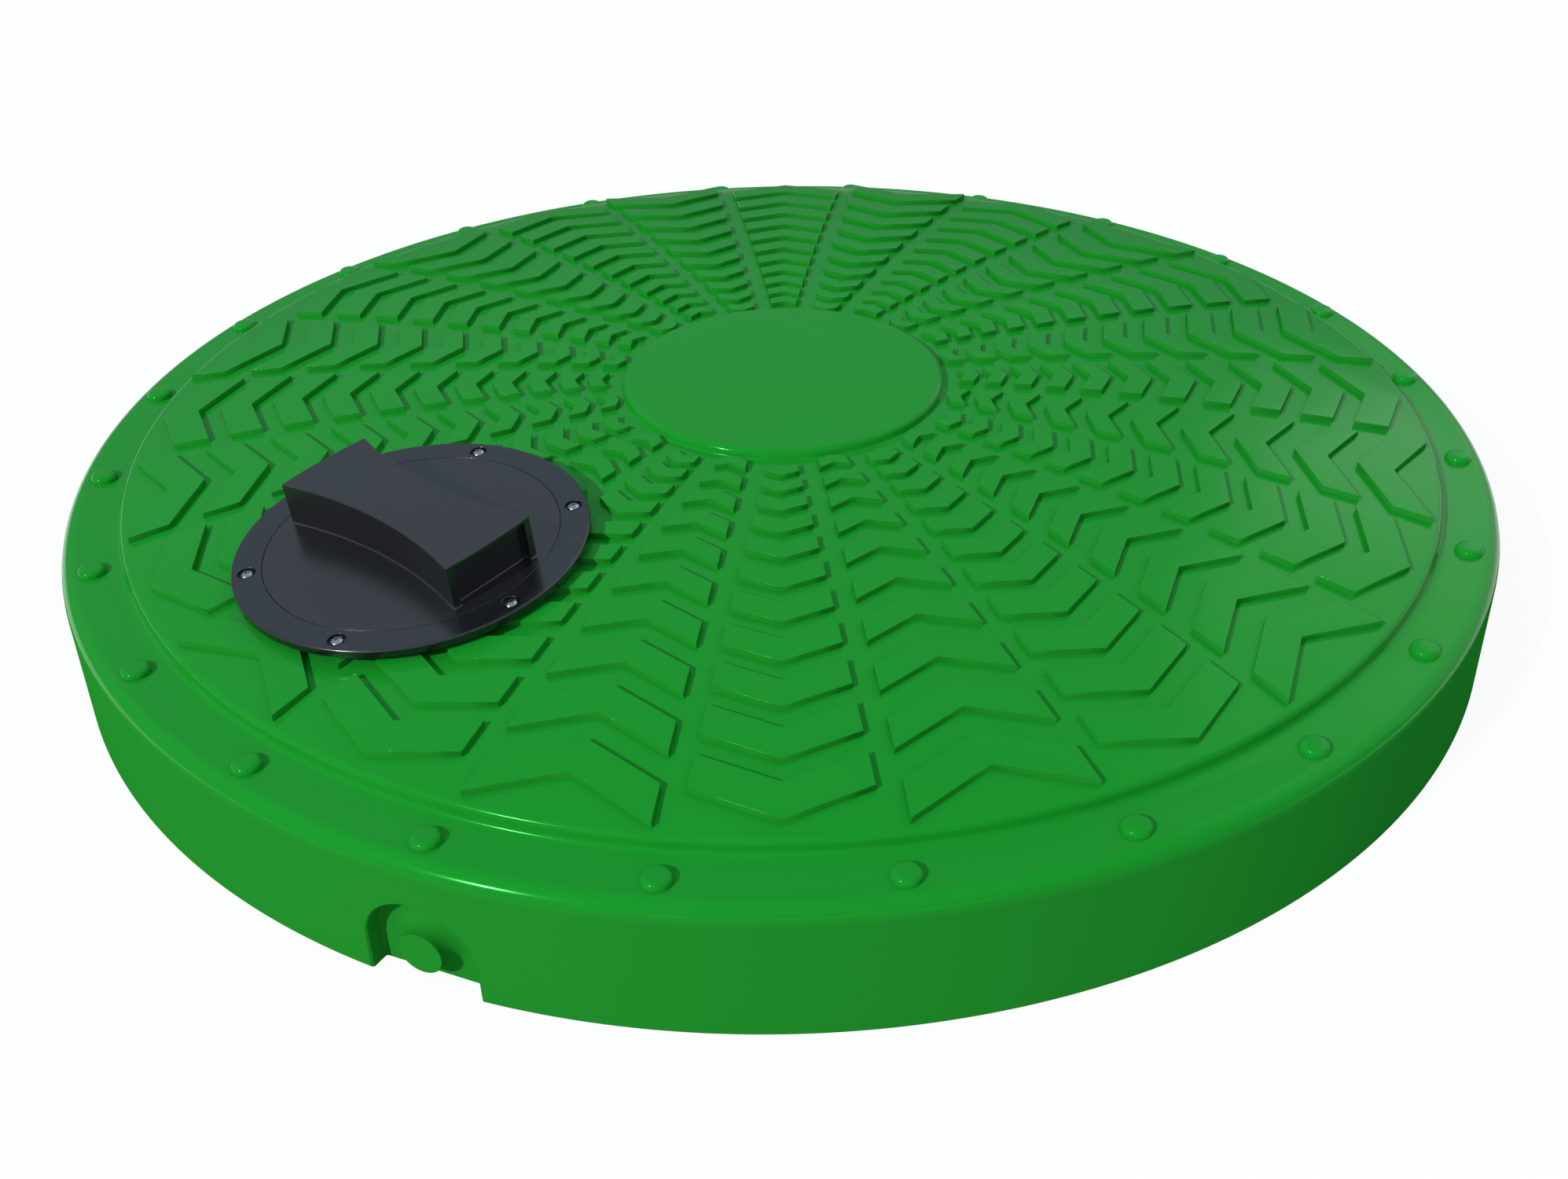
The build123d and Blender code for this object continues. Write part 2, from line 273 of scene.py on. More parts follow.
# The same plastic on the skirt and the ribs' sides, dull from the mould's blasted side walls
SKIRT_GREEN = MouldedPlastic(
    "moulded_polyethylene_matt", "#26952e", "#22912b", roughness=0.6,
    grain_mm=0.9, grain_depth_mm=0.004, shine=0.0,
)
# Moulded polypropylene, satin from a fine spark-eroded mould
RING_BLACK = MouldedPlastic(
    "moulded_polypropylene_black", "#16181b", "#141517", roughness=0.2,
    grain_mm=0.5, grain_depth_mm=0.004, shine=0.9,
)
# The same plastic, a little warmer and rougher on the lid's plate
LID_BLACK = MouldedPlastic(
    "moulded_polypropylene_lid", "#1a1b1c", "#171818", roughness=0.26,
    grain_mm=0.5, grain_depth_mm=0.006, shine=0.95,
)
# Closed-cell foam rubber: dull, with open cells on its cut edge
GASKET_FOAM = MouldedPlastic(
    "closed_cell_foam", "#0c0c0c", "#141414", roughness=0.85, grain_mm=0.8, grain_depth_mm=0.25
)
# Moulded nitrile rubber: smooth and slightly soft in its shine
SEAL_RUBBER = MouldedPlastic(
    "nitrile_rubber", "#0b0b0c", "#101011", roughness=0.5, grain_mm=0.6, grain_depth_mm=0.01
)
# Bright zinc on turned and pressed steel: a clear mirror, blurred a little
BRIGHT_ZINC = PlatedSteel(
    "bright_zinc_steel", "#b8bcc2", "#9ea3ab", roughness=0.24, blotch_mm=2.5
)


def rounded_path(corners: Sequence[Corner]) -> list[Point2]:
    """Rounds the corners of an open path in a plane.

    Args:
        corners: Points with the radius of the rounding at each; the ends stay sharp.

    Returns:
        Points of the rounded path.
    """
    path = [Vector(corners[0][:2])]
    for before, here, after in zip(corners, corners[1:], corners[2:]):
        point, radius = Vector(here[:2]), here[2]
        back = (Vector(before[:2]) - point).normalized()
        ahead = (Vector(after[:2]) - point).normalized()
        half = back.angle(ahead) / 2
        if radius <= 0 or math.pi / 2 - half < STRAIGHT:
            path.append(point)
            continue
        reach = radius / math.tan(half)
        centre = point + (back + ahead).normalized() * radius / math.sin(half)
        start, end = point + back * reach - centre, point + ahead * reach - centre
        turn = start.angle_signed(end)
        for step in range(ROUND_STEPS + 1):
            angle = -turn * step / ROUND_STEPS
            spun = Vector((
                start.x * math.cos(angle) - start.y * math.sin(angle),
                start.x * math.sin(angle) + start.y * math.cos(angle),
            ))
            path.append(centre + spun)
    path.append(Vector(corners[-1][:2]))
    return [(point.x, point.y) for point in path]


def linked(name: str, data: bpy.types.ID) -> bpy.types.Object:
    """Makes an object and links it to the scene.

    Args:
        name: Name of the object.
        data: Its mesh, camera or light.

    Returns:
        The object, at the origin.
    """
    thing = bpy.data.objects.new(name, data)
    bpy.context.scene.collection.objects.link(thing)
    return thing


def finish_shading(mesh: bpy.types.Mesh, sharp_degrees: float = SHARP_DEGREES) -> None:
    """Shades a mesh smooth, with edges over an angle kept sharp."""
    mesh.shade_smooth()
    mesh.set_sharp_from_angle(angle=math.radians(sharp_degrees))


def mesh_object(name: str, points: Iterable[Sequence[float]],
                faces: Iterable[Sequence[int]]) -> bpy.types.Object:
    """Makes a mesh object at the origin, with smooth faces and sharp creases.

    Args:
        name: Name of the object and its mesh.
        points: Vertices in millimetres.
        faces: Vertex numbers of each face.

    Returns:
        The linked object, in metres.
    """
    mesh = bpy.data.meshes.new(name)
    mesh.from_pydata([[c * MM for c in point] for point in points], [], list(faces))
    mesh.validate()
    finish_shading(mesh)
    return linked(name, mesh)


def face_outward(thing: bpy.types.Object) -> bpy.types.Object:
    """Turns the faces of a closed object outward and marks its sharp edges.

    Args:
        thing: The closed object.

    Returns:
        The same object.
    """
    work = bmesh.new()
    work.from_mesh(thing.data)
    bmesh.ops.recalc_face_normals(work, faces=work.faces)
    work.to_mesh(thing.data)
    work.free()
    finish_shading(thing.data)
    return thing


def turned(name: str, path: Sequence[Point2], segments: int) -> bpy.types.Object:
    """Turns a profile about Z into a closed solid.

    Args:
        name: Name of the object.
        path: Radius and height of each point; points with no radius become poles, and
            a path that does not start and end on the axis is joined end to end.
        segments: Copies of the profile round the axis.

    Returns:
        The solid, with its faces outward.
    """
    points: list[Point3] = []
    rings: list[list[int]] = []
    for radius, height in path:
        if radius < TINY:
            rings.append([len(points)] * segments)
            points.append((0.0, 0.0, height))
            continue
        rings.append(list(range(len(points), len(points) + segments)))
        for number in range(segments):
            angle = math.tau * number / segments
            points.append((radius * math.cos(angle), radius * math.sin(angle), height))
    faces: list[list[int]] = []
    closed = path[0][0] > TINY
    pairs = list(zip(rings, rings[1:])) + ([(rings[-1], rings[0])] if closed else [])
    for lower, upper in pairs:
        for number in range(segments):
            after = (number + 1) % segments
            face = [lower[number], lower[after], upper[after], upper[number]]
            faces.append(list(dict.fromkeys(face)))
    return face_outward(mesh_object(name, points, faces))


def cylinder(name: str, radius: float, low: float, high: float, segments: int) -> bpy.types.Object:
    """Makes a cylinder about Z between two heights."""
    return turned(name, [(0.0, low), (radius, low), (radius, high), (0.0, high)], segments)


def lofted(name: str, rings: Sequence[Sequence[Point3]]) -> bpy.types.Object:
    """Joins closed outlines with the same number of points into a solid.

    Args:
        name: Name of the object.
        rings: Points of each outline, from one end of the solid to the other.

    Returns:
        The solid, with its faces outward.
    """
    count = len(rings[0])
    starts = range(0, len(rings) * count, count)
    faces = [
        [low + number, low + (number + 1) % count, high + (number + 1) % count, high + number]
        for low, high in zip(starts, starts[1:]) for number in range(count)
    ]
    faces += [list(range(start, start + count)) for start in (starts[0], starts[-1])]
    return face_outward(mesh_object(name, [point for ring in rings for point in ring], faces))


def prism(name: str, outline: Sequence[Point2], low: float, high: float) -> bpy.types.Object:
    """Makes an upright solid from a closed outline."""
    return lofted(name, [[(x, y, height) for x, y in outline] for height in (low, high)])


def block(name: str, near: Point3, far: Point3) -> bpy.types.Object:
    """Makes a block between two opposite corners."""
    outline = [(near[0], near[1]), (near[0], far[1]), (far[0], far[1]), (far[0], near[1])]
    return prism(name, outline, near[2], far[2])


def baked(thing: bpy.types.Object) -> bpy.types.Object:
    """Turns an object's evaluated form into its plain mesh and removes its modifiers.

    Args:
        thing: Object with modifiers.

    Returns:
        The same object.
    """
    graph = bpy.context.evaluated_depsgraph_get()
    graph.update()
    mesh = bpy.data.meshes.new_from_object(thing.evaluated_get(graph))
    thing.modifiers.clear()
    thing.data = mesh
    mesh.name = thing.name
    return thing


def combine(thing: bpy.types.Object, tool: bpy.types.Object, operation: Operation) -> None:
    """Joins, cuts or intersects an object with a tool, which is then deleted.

    Args:
        thing: Object that is changed.
        tool: Object that is used up.
        operation: How they are combined.
    """
    step = thing.modifiers.new("combine", "BOOLEAN")
    step.operation = operation.value
    step.solver = "EXACT"
    step.object = tool
    baked(thing)
    bpy.data.objects.remove(tool)
    finish_shading(thing.data)


def flatten_shading(thing: bpy.types.Object, sharp_degrees: float = SHARP_DEGREES) -> None:
    """Lets the wide faces of an object set its shading, so that small roundings stay crisp.

    Args:
        thing: The finished object.
        sharp_degrees: Edges that turn by more than this stay sharp.
    """
    finish_shading(thing.data, sharp_degrees)
    step = thing.modifiers.new("wide_faces_first", "WEIGHTED_NORMAL")
    step.keep_sharp = True
    baked(thing)


def place(thing: bpy.types.Object, matrix: Matrix) -> bpy.types.Object:
    """Moves an object's mesh, while the object stays at the origin.

    Args:
        thing: The object.
        matrix: The move, in metres.

    Returns:
        The same object.
    """
    thing.data.transform(matrix)
    thing.data.update()
    return thing


def dress(thing: bpy.types.Object, material: bpy.types.Material, body: Body, slot: Slot,
          *replaced: str) -> None:
    """Gives a finished piece its material and body, and hides the nodes that it stands for.

    Args:
        thing: The finished piece.
        material: Its first material.
        body: Body that it rides on.
        slot: Slot of the record; not used.
        *replaced: CAD nodes that it stands for.
    """
    thing.data.materials.clear()
    thing.data.materials.append(material)
    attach(thing, body.value)
    if replaced:
        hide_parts(*replaced)
    LOG.info("piece %s: %d faces on %s", thing.name, len(thing.data.polygons), body.value)


@dataclass
class CopyRing:
    """Geometry Nodes tree that sets copies of a mesh evenly round Z."""

    name: str = "ring_of_copies"
    tree: bpy.types.NodeTree = field(init=False)
    sockets: dict[str, str] = field(init=False, default_factory=dict)

    def __post_init__(self) -> None:
        """Builds the tree once, for all its users."""
        self.tree = bpy.data.node_groups.new(self.name, "GeometryNodeTree")
        tree, face = self.tree, self.tree.interface
        face.new_socket("Geometry", in_out="INPUT", socket_type="NodeSocketGeometry")
        face.new_socket("Geometry", in_out="OUTPUT", socket_type="NodeSocketGeometry")
        for label, kind in (
            ("Count", "NodeSocketInt"), ("Radius", "NodeSocketFloat"),
            ("Start Angle", "NodeSocketFloat"), ("Material", "NodeSocketMaterial"),
        ):
            socket = face.new_socket(label, in_out="INPUT", socket_type=kind)
            self.sockets[label] = socket.identifier
        given = add_node(tree, "NodeGroupInput").outputs
        line = add_node(tree, "GeometryNodePoints", {"Count": given["Count"]})
        number = add_node(tree, "GeometryNodeInputIndex").outputs["Index"]
        pitch = add_node(
            tree, "ShaderNodeMath", {0: math.tau, 1: given["Count"]}, operation="DIVIDE"
        )
        angle = add_node(
            tree, "ShaderNodeMath", {0: number, 1: pitch.outputs[0], 2: given["Start Angle"]},
            operation="MULTIPLY_ADD",
        )
        turn = add_node(tree, "ShaderNodeCombineXYZ", {"Z": angle.outputs[0]})
        reach = add_node(tree, "ShaderNodeCombineXYZ", {"X": given["Radius"]})
        spot = add_node(
            tree, "ShaderNodeVectorRotate",
            {"Vector": reach.outputs[0], "Rotation": turn.outputs[0]}, rotation_type="EULER_XYZ",
        )
        moved = add_node(
            tree, "GeometryNodeSetPosition",
            {"Geometry": line.outputs[0], "Position": spot.outputs[0]},
        )
        copies = add_node(
            tree, "GeometryNodeInstanceOnPoints",
            {"Points": moved.outputs[0], "Instance": given["Geometry"],
             "Rotation": turn.outputs[0]},
        )
        real = add_node(tree, "GeometryNodeRealizeInstances", {"Geometry": copies.outputs[0]})
        dressed = add_node(
            tree, "GeometryNodeSetMaterial",
            {"Geometry": real.outputs[0], "Material": given["Material"]},
        )
        add_node(tree, "NodeGroupOutput", {"Geometry": dressed.outputs[0]})

    def apply(self, thing: bpy.types.Object, count: int, radius_mm: float, start_degrees: float,
              material: bpy.types.Material | None) -> bpy.types.Object:
        """Replaces an object's mesh by a ring of its copies.

        Args:
            thing: Object whose mesh is copied.
            count: Copies round Z.
            radius_mm: Distance of each copy from Z.
            start_degrees: Azimuth of the first copy.
            material: Material of the copies; none for a tool.

        Returns:
            The same object, as a plain mesh.
        """
        step = thing.modifiers.new(self.name, "NODES")
        step.node_group = self.tree
        step[self.sockets["Count"]] = count
        step[self.sockets["Radius"]] = radius_mm * MM
        step[self.sockets["Start Angle"]] = math.radians(start_degrees)
        step[self.sockets["Material"]] = material
        return baked(thing)


@dataclass
class CoverForm:
    """Sizes and curves of the moulded cover that its pieces share."""

    foot_radius: float = 501.6
    rim_radius: float = 500.0
    band_height: float = 86.0
    wall: float = 6.0
    rim_fillet: float = 11.0
    panel_radius: float = 461.2
    step_draft: float = 1.4
    step_fillet: float = 4.0
    inner_toe_fillet: float = 8.0
    inner_head_fillet: float = 1.5
    head_drop: float = 0.8
    toe_rise: float = 2.0
    toe_width: float = 9.0
    crown_rise: float = 36.9
    crown_flat: float = 112.0
    crown_arc: float = 2359.0
    crown_bends: int = 14
    disc_radius: float = 116.0
    disc_height: float = 6.4
    disc_draft: float = 2.0
    disc_edge: float = 4.5
    disc_toe: float = 1.5
    foot_edge: float = 1.2
    sectors: int = 24
    tread_angle: float = 0.75
    tread_height: float = 3.8
    root: float = 1.8

    @property
    def crown_top(self) -> float:
        """Height of the flat middle of the crown."""
        return self.band_height + self.crown_rise

    @property
    def sector_angle(self) -> float:
        """Angle of one sector of the tread, in degrees."""
        return 360 / self.sectors

    def crown_z(self, radius: float, depth: float = 0.0) -> float:
        """Height of the crown's curve.

        Args:
            radius: Distance from the cover's axis.
            depth: Distance below the outer face.

        Returns:
            The height in millimetres.
        """
        out = max(radius, self.crown_flat) - self.crown_flat
        above_centre = math.sqrt((self.crown_arc - depth) ** 2 - out ** 2)
        return self.crown_top - self.crown_arc + above_centre

    def skin(self, depth: float, rim: float, toe: float, head: float) -> list[Corner]:
        """Corners of the skin from the edge of the crown's flat out to the foot.

        Args:
            depth: Distance below the outer face.
            rim: Rounding of the rim.
            toe: Rounding at the foot of the step.
            head: Rounding at the head of the step.

        Returns:
            Corners with their roundings, from the axis outward.
        """
        step_head = self.panel_radius - self.step_draft - depth
        run = step_head - self.crown_flat
        arc = [self.crown_flat + run * bend / self.crown_bends for bend in range(self.crown_bends)]
        corners = [(radius, self.crown_z(radius, depth), 0.0) for radius in arc]
        return corners + [
            (step_head, self.crown_z(step_head, depth) - self.head_drop, head),
            (self.panel_radius - depth, self.band_height + self.toe_rise - depth, toe),
            (self.panel_radius + self.toe_width - depth, self.band_height - depth, 0.0),
            (self.rim_radius - depth, self.band_height - depth, rim),
            (self.foot_radius - depth, 0.0, 0.0),
        ]


@dataclass
class SkirtRecess:
    """Arched recess in the skirt with a stub boss on its flat back wall."""

    form: CoverForm
    azimuth: float = 248.2
    half_width: float = 33.6
    height: float = 57.0
    depth: float = 12.3
    draft: float = 5.0
    lip: float = 1.5
    root: float = 1.5
    boss_radius: float = 13.2
    boss_height: float = 23.5
    boss_reach: float = 11.7
    boss_flare: float = 9.5
    boss_edge: float = 0.5
    boss_segments: int = 64
    housing_foot: float = 0.05
    arch_steps: int = 28
    root_steps: int = 5

    @property
    def matrix(self) -> Matrix:
        """Places X along the skirt, Y out of it and Z up, at the cover's axis."""
        return Matrix.Rotation(math.radians(self.azimuth - 90), 4, "Z")

    def outline(self, grow: float, foot: float) -> list[Point2]:
        """Arched outline, open at the foot.

        Args:
            grow: Distance by which it is wider than the recess.
            foot: Height of its lower ends.

        Returns:
            Points along the skirt and up, from one foot to the other.
        """
        half = self.half_width + grow
        shoulder = self.height - self.half_width
        turns = [math.pi * step / self.arch_steps for step in range(self.arch_steps + 1)]
        arch = [(half * math.cos(turn), shoulder + half * math.sin(turn)) for turn in turns]
        return [(half, foot)] + arch + [(-half, foot)]

    def solid(self, name: str, sections: Sequence[tuple[float, float, bool]],
              foot: float) -> bpy.types.Object:
        """Lofts the outline through sections.

        Args:
            name: Name of the object.
            sections: Reach, growth, and whether the reach is measured from the skirt's own
                face or from the cover's axis.
            foot: Height of the solid's underside.

        Returns:
            The solid in its place on the skirt.
        """
        rings = []
        for reach, grow, follows in sections:
            ring = []
            for along, height in self.outline(grow, foot):
                face = math.sqrt(self.form.foot_radius ** 2 - along ** 2) if follows else 0.0
                ring.append((along, reach + face, height))
            rings.append(ring)
        return place(lofted(name, rings), self.matrix)

    def cutter(self) -> bpy.types.Object:
        """Builds the tool that cuts the recess.

        Returns:
            A solid with draft, a rounded root and a chamfered lip.
        """
        back = self.form.foot_radius - self.depth
        taper = math.tan(math.radians(self.draft)) * self.depth
        turns = [math.pi / 2 * step / self.root_steps for step in range(self.root_steps + 1)]
        sections = [
            (back + self.root * (1 - math.cos(turn)), -self.root * (1 - math.sin(turn)) - taper,
             False)
            for turn in turns
        ]
        sections += [
            (-self.lip * math.cos(turn), self.lip * (1 - math.cos(turn)), True) for turn in turns
        ]
        sections.append((2 * self.form.wall, 2 * self.lip, True))
        return self.solid("recess_cutter", sections, -2 * self.form.wall)

    def housing(self) -> bpy.types.Object:
        """Builds the wall that surrounds the recess inside the skirt.

        Returns:
            A solid block, before the recess is cut.
        """
        wall = self.form.wall
        inside = self.form.foot_radius - self.depth - wall
        sections = [(inside, wall, False), (-wall / 2, wall, True)]
        return self.solid("recess_housing", sections, self.housing_foot)

    def boss(self) -> bpy.types.Object:
        """Builds the stub boss, flared at its root.

        Returns:
            The boss on the recess's back wall.
        """
        foot = self.boss_radius + self.boss_flare
        bury = -self.form.wall / 2
        profile = rounded_path([
            (0.0, self.boss_reach, 0.0), (self.boss_radius, self.boss_reach, self.boss_edge),
            (self.boss_radius, 0.0, self.boss_flare - HAIR), (foot, 0.0, 0.0),
            (foot, bury, 0.0), (0.0, bury, 0.0),
        ])
        boss = turned("recess_boss", profile, self.boss_segments)
        back = Vector((0.0, self.form.foot_radius - self.depth, self.boss_height)) * MM
        outward = Matrix.Translation(back) @ Matrix.Rotation(-math.pi / 2, 4, "X")
        return place(boss, self.matrix @ outward)


@dataclass
class HatchForm:
    """Sizes and place of the hatch, from the lid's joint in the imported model."""

    flange_radius: float = 109.8
    flange_thickness: float = 5.5
    flange_fillet: float = 1.2
    seat_gap: float = 1.2
    neck_bore: float = 75.0
    neck_wall: float = 4.0
    neck_depth: float = 28.5
    hole_clearance: float = 1.5
    lid_radius: float = 91.2
    lid_clearance: float = 0.3
    lid_rim: float = 2.6
    lid_seat_gap: float = 0.2
    lid_plate: float = 3.2
    plug_clearance: float = 0.6
    plug_wall: float = 5.0
    plug_depth: float = 18.0
    screws: int = 6
    screw_circle: float = 100.4
    screw_angle: float = 31.7
    screw_radius: float = 2.0
    screw_play: float = 0.25
    head_seat: float = 2.2
    seat_radius: float = 5.4
    pad_radius: float = 7.0
    pad_proud: float = 1.0
    grip_angle: float = 96.6
    segments: int = 256
    sharp_degrees: float = 50.0

    @property
    def matrix(self) -> Matrix:
        """Place of the hatch, read from the lid's joint.

        Returns:
            A matrix in metres that sets Z along the lid's axis and X outward and down the
            crown, with its origin on the flange's face.
        """
        joint = next(j for j in frame["joints"] if j["name"] == "lid_turn")
        centre, axis = Vector(joint["pos_m"]), Vector(joint["axis"]).normalized()
        outward = Vector((centre.x, centre.y, 0)).normalized()
        side = axis.cross(outward).normalized()
        columns = (side.cross(axis), side, axis)
        turn = Matrix([[column[row] for column in columns] for row in range(3)]).to_4x4()
        return Matrix.Translation(centre) @ turn

    def panel_under(self, form: CoverForm) -> float:
        """Depth of the panel's underside below the flange's face, on the hatch's axis."""
        return self.flange_thickness + self.seat_gap + form.tread_height + form.wall

    def pad_face(self, form: CoverForm) -> float:
        """Depth of the pads' flat faces below the flange's face."""
        span = self.screw_circle + self.pad_radius
        return self.panel_under(form) + span ** 2 / (2 * form.crown_arc) + self.pad_proud

    def at_screws(self, thing: bpy.types.Object, copies: CopyRing,
                  material: bpy.types.Material | None = None) -> bpy.types.Object:
        """Replaces an object on the hatch's axis by its copies at the screws."""
        return copies.apply(thing, self.screws, self.screw_circle, self.screw_angle, material)


@dataclass(frozen=True)
class RibKind:
    """How the ribs of one sector follow each other: millimetres, and degrees for the lean.

    The gap is from the disc to the first nose, the step is the first spacing, each spacing
    is wider than the last by the growth, and the arms lean outward if the lean is positive.
    """

    gap: float
    step: float
    growth: float
    lean: float


@dataclass
class CoverMoulding:
    """The moulded cover: its turned shell with the recess, pads and holes, its ribs and studs."""

    form: CoverForm
    recess: SkirtRecess
    hatch: HatchForm
    copies: CopyRing
    segments: int = 720
    pad_segments: int = 32
    neck_segments: int = 160
    drill_segments: int = 24
    inward: RibKind = RibKind(gap=25.4, step=20.4, growth=2.323, lean=-24.5)
    outward: RibKind = RibKind(gap=13.6, step=21.6, growth=2.88, lean=24.5)
    channel: float = 14.0
    rib_base: float = 3.84
    rib_share: float = 0.0484
    rib_edge: float = 0.35
    rib_edge_degrees: float = 45.0
    rib_sharp_degrees: float = 60.0
    arm_steps: int = 3
    tread_margin: float = 6.2
    stud_circle: float = 480.0
    stud_radius: float = 9.0
    stud_height: float = 4.3
    stud_taper: float = 0.7
    stud_head: float = 3.3
    stud_segments: int = 40
    gloss_from_degrees: float = 24.0

    def shell(self) -> bpy.types.Object:
        """Builds the turned shell with its recess, pads and holes.

        Returns:
            One closed mesh.
        """
        form = self.form
        top = form.crown_top + form.disc_height
        disc: list[Corner] = [
            (0.0, top, 0.0), (form.disc_radius - form.disc_draft, top, form.disc_edge),
            (form.disc_radius, form.crown_top, form.disc_toe),
        ]
        outer = form.skin(0.0, form.rim_fillet, form.step_fillet, form.step_fillet)[1:]
        outer[-1] = (form.foot_radius, 0.0, form.foot_edge)
        inner = form.skin(
            form.wall, form.rim_fillet - form.wall, form.inner_toe_fillet, form.inner_head_fillet
        )
        inner[-1] = (form.foot_radius - form.wall, 0.0, form.foot_edge)
        path = disc + outer + inner[::-1] + [(0.0, form.crown_top - form.wall, 0.0)]
        shell = turned("cover_moulding", rounded_path(path), self.segments)
        combine(shell, self.recess.housing(), Operation.JOIN)
        combine(shell, self.recess.cutter(), Operation.CUT)
        combine(shell, self.recess.boss(), Operation.JOIN)
        combine(shell, self.pads(), Operation.JOIN)
        combine(shell, self.neck_hole(), Operation.CUT)
        combine(shell, self.screw_holes(), Operation.CUT)
        flatten_shading(shell)
        return shell

    def pads(self) -> bpy.types.Object:
        """Builds the flat pads under the panel.

        Returns:
            The pads, one at each hatch screw.
        """
        hatch = self.hatch
        face, under = hatch.pad_face(self.form), hatch.panel_under(self.form)
        pad = cylinder("pads", hatch.pad_radius, -face, -under, self.pad_segments)
        return place(hatch.at_screws(pad, self.copies), hatch.matrix)

    def neck_hole(self) -> bpy.types.Object:
        """Builds the tool for the hole that the hatch's neck goes through.

        Returns:
            A cylinder on the hatch's axis.
        """
        hatch = self.hatch
        radius = hatch.neck_bore + hatch.neck_wall + hatch.hole_clearance
        tall = 2 * hatch.neck_depth
        return place(cylinder("neck_hole", radius, -tall, tall, self.neck_segments), hatch.matrix)

    def screw_holes(self) -> bpy.types.Object:
        """Builds the tools that drill the screw holes.

        Returns:
            A cylinder at each hatch screw.
        """
        hatch = self.hatch
        tall = 2 * hatch.neck_depth
        radius = hatch.screw_radius + hatch.screw_play
        drill = cylinder("screw_holes", radius, -tall, tall, self.drill_segments)
        return place(hatch.at_screws(drill, self.copies), hatch.matrix)

    def rib_sides(self, nose: float, lean: float) -> RibSides:
        """Sides of a V rib along +X, from one arm's end over the nose to the other's.

        Args:
            nose: Distance of the rib's outer nose from the axis.
            lean: Lean of the arms in degrees, outward if positive.

        Returns:
            Pairs of points, evenly spaced along each arm.
        """
        slope = math.tan(math.radians(lean))
        half_sector = math.radians(self.form.sector_angle / 2)
        widening = math.tan(half_sector)
        gap = self.channel / 2 / math.cos(half_sector)
        tips = (nose, nose - self.rib_base - self.rib_share * nose)
        reaches = [(tip * widening - gap) / (1 - slope * widening) for tip in tips]
        sides: RibSides = []
        for number in range(-self.arm_steps, self.arm_steps + 1):
            share = number / self.arm_steps
            outer, inner = (
                (tip + slope * reach * abs(share), reach * share)
                for tip, reach in zip(tips, reaches)
            )
            sides.append((outer, inner))
        return sides

    def rib_rows(self, kind: RibKind) -> list[RibSides]:
        """Ribs of one sector, from the disc out to the step.

        Args:
            kind: How they follow each other.

        Returns:
            The sides of each rib.
        """
        rows = []
        nose, step = self.form.disc_radius + kind.gap, kind.step
        limit = self.form.panel_radius - self.tread_margin
        sides = self.rib_sides(nose, kind.lean)
        while max(math.hypot(*outer) for outer, _ in sides) < limit:
            rows.append(sides)
            nose += step
            step += kind.growth
            sides = self.rib_sides(nose, kind.lean)
        return rows

    def tread(self, material: bpy.types.Material) -> bpy.types.Object:
        """Builds the ribs of two neighbouring sectors and sets copies of them all round.

        Args:
            material: Material of the ribs.

        Returns:
            All the ribs as one mesh, open where the hatch goes through.
        """
        work = bmesh.new()
        for sector, kind in enumerate((self.inward, self.outward)):
            angle = self.form.tread_angle + sector * self.form.sector_angle
            turn = Matrix.Rotation(math.radians(angle), 3, "Z")
            for sides in self.rib_rows(kind):
                self.add_rib(work, sides, turn)
        mesh = bpy.data.meshes.new("tread_ribs")
        work.to_mesh(mesh)
        work.free()
        ribs = linked("tread_ribs", mesh)
        self.copies.apply(ribs, self.form.sectors // 2, 0.0, 0.0, material)
        combine(ribs, self.neck_hole(), Operation.CUT)
        combine(ribs, self.screw_holes(), Operation.CUT)
        flatten_shading(ribs, self.rib_sharp_degrees)
        return ribs

    def on_crown(self, point: Point2, depth: float) -> Vector:
        """Sets a point of the plan at a depth below the crown's outer face."""
        return Vector((*point, self.form.crown_z(math.hypot(*point), depth)))

    def add_rib(self, work: bmesh.types.BMesh, sides: RibSides, turn: Matrix) -> None:
        """Adds one rib, with its walls upright and its top along the crown.

        Args:
            work: Mesh that gets the rib.
            sides: Outer and inner points along the rib.
            turn: Rotation into the rib's sector.
        """
        loops = {}
        for key, depth in (("top", -self.form.tread_height), ("root", self.form.root)):
            for side in (0, 1):
                loops[key, side] = [
                    work.verts.new(turn @ self.on_crown(pair[side], depth) * MM) for pair in sides
                ]
        around = (("top", 0), ("top", 1), ("root", 1), ("root", 0))
        faces = []
        for here, there in zip(around, around[1:] + around[:1]):
            first, second = loops[here], loops[there]
            for number in range(len(sides) - 1):
                quad = (first[number], first[number + 1], second[number + 1], second[number])
                faces.append(work.faces.new(quad))
        for end in (0, -1):
            faces.append(work.faces.new([loops[key][end] for key in around]))
        bmesh.ops.recalc_face_normals(work, faces=faces)
        rim = set(loops["top", 0]) | set(loops["top", 1])
        top_edges = [
            edge for edge in {e for face in faces for e in face.edges}
            if edge.verts[0] in rim and edge.verts[1] in rim
            and edge.calc_face_angle(0.0) > math.radians(self.rib_edge_degrees)
        ]
        bmesh.ops.bevel(
            work, geom=top_edges, offset=self.rib_edge * MM, segments=1, affect="EDGES"
        )

